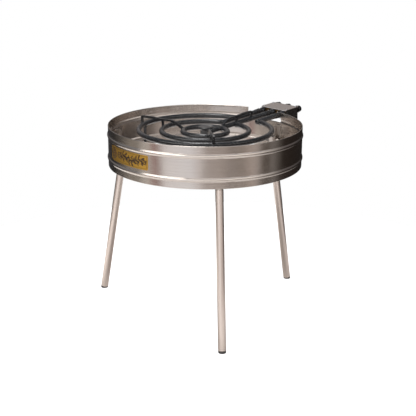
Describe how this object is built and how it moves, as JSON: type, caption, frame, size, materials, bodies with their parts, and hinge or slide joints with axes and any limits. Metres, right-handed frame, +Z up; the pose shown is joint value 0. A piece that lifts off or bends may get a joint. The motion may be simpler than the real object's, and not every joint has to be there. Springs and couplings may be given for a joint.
{
  "type": "gas ring burner on tripod stand",
  "caption": "Ring gas burner with push-and-turn taps, resting in a round stainless windshield drum on splayed tube legs; carries a wide pan outdoors.",
  "frame": {"origin": "on the floor, under the middle of the bounding box", "axes": "+Z up, parallel to the drum's axis; +X to the right and -Y towards the front leg"},
  "size_m": [0.7971, 0.7952, 0.712],
  "materials": {
    "drum_steel": "satin stainless sheet",
    "leg_steel": "satin stainless tube",
    "bracket_steel": "plain stainless, welded",
    "plate_gold": "gold coloured foil plate with a plain ornament",
    "enamel": "glossy black enamel on steel",
    "case_black": "black powder coat on sheet steel",
    "shield_steel": "bright plain sheet",
    "brass": "machined brass",
    "zinc": "zinc plated steel",
    "knob_plastic": "black heat-proof plastic",
    "foot_rubber": "dark moulded plug"
  },
  "bodies": {
    "stand": {"windshield_drum": "drum_steel", "name_plate": "plate_gold", "leg_socket_front": "bracket_steel", "leg_socket_left": "bracket_steel", "leg_socket_right": "bracket_steel", "burner_bracket_front": "bracket_steel", "burner_bracket_left": "bracket_steel"},
    "front_leg": {"leg_tube_front": "leg_steel", "leg_stud_front": "zinc", "foot_plug_front": "foot_rubber"},
    "left_leg": {"leg_tube_left": "leg_steel", "leg_stud_left": "zinc", "foot_plug_left": "foot_rubber"},
    "right_leg": {"leg_tube_right": "leg_steel", "leg_stud_right": "zinc", "foot_plug_right": "foot_rubber"},
    "burner": {"outer_ring": "enamel", "middle_ring": "enamel", "inner_ring": "enamel", "burner_cap": "enamel", "feed_tube_left": "enamel", "feed_tube_middle": "enamel", "feed_tube_right": "enamel", "pan_support_front": "enamel", "pan_support_left": "enamel", "pan_support_arm": "enamel", "burner_foot_front": "enamel", "burner_foot_left": "enamel", "arm_rest": "enamel", "tap_case": "case_black", "heat_shield": "shield_steel", "gas_rail": "zinc", "inlet_nut": "brass", "inlet_elbow": "brass", "tap_body_left": "brass", "tap_body_middle": "brass", "tap_body_right": "brass", "injector_left": "brass", "injector_middle": "brass", "injector_right": "brass", "shield_screw_1": "zinc", "shield_screw_2": "zinc", "shield_screw_3": "zinc", "shield_screw_4": "zinc"},
    "left_tap_press": {"thrust_washer_left": "zinc"},
    "left_tap_knob": {"spindle_left": "zinc", "knob_left": "knob_plastic"},
    "middle_tap_press": {"thrust_washer_middle": "zinc"},
    "middle_tap_knob": {"spindle_middle": "zinc", "knob_middle": "knob_plastic"},
    "right_tap_press": {"thrust_washer_right": "zinc"},
    "right_tap_knob": {"spindle_right": "zinc", "knob_right": "knob_plastic"}
  },
  "joints": [
    {"name": "front_leg_out", "type": "slide", "parent": "stand", "child": "front_leg", "axis": [0, -0.1687, -0.9857], "range_m": [0, 0.06]},
    {"name": "left_leg_out", "type": "slide", "parent": "stand", "child": "left_leg", "axis": [-0.1461, 0.0844, -0.9857], "range_m": [0, 0.06]},
    {"name": "right_leg_out", "type": "slide", "parent": "stand", "child": "right_leg", "axis": [0.1461, 0.0844, -0.9857], "range_m": [0, 0.06]},
    {"name": "burner_lift", "type": "slide", "parent": "stand", "child": "burner", "axis": [0, 0, 1], "range_m": [0, 0.15]},
    {"name": "left_tap_push", "type": "slide", "parent": "burner", "child": "left_tap_press", "axis": [-0.7969, -0.6005, -0.0663], "range_m": [0, 0.003], "stiffness_N_per_m": 1500, "springref_m": -0.002},
    {"name": "left_tap_turn", "type": "hinge", "parent": "left_tap_press", "child": "left_tap_knob", "pos_m": [-0.04389, 0.08453, 0.66462], "axis": [0.7969, 0.6005, 0.0663], "range_deg": [0, 210]},
    {"name": "middle_tap_push", "type": "slide", "parent": "burner", "child": "middle_tap_press", "axis": [-0.7969, -0.6005, -0.0663], "range_m": [0, 0.003], "stiffness_N_per_m": 1500, "springref_m": -0.002},
    {"name": "middle_tap_turn", "type": "hinge", "parent": "middle_tap_press", "child": "middle_tap_knob", "pos_m": [-0.0138, 0.0446, 0.66462], "axis": [0.7969, 0.6005, 0.0663], "range_deg": [0, 210]},
    {"name": "right_tap_push", "type": "slide", "parent": "burner", "child": "right_tap_press", "axis": [-0.7969, -0.6005, -0.0663], "range_m": [0, 0.003], "stiffness_N_per_m": 1500, "springref_m": -0.002},
    {"name": "right_tap_turn", "type": "hinge", "parent": "right_tap_press", "child": "right_tap_knob", "pos_m": [0.01629, 0.00467, 0.66462], "axis": [0.7969, 0.6005, 0.0663], "range_deg": [0, 210]}
  ]
}
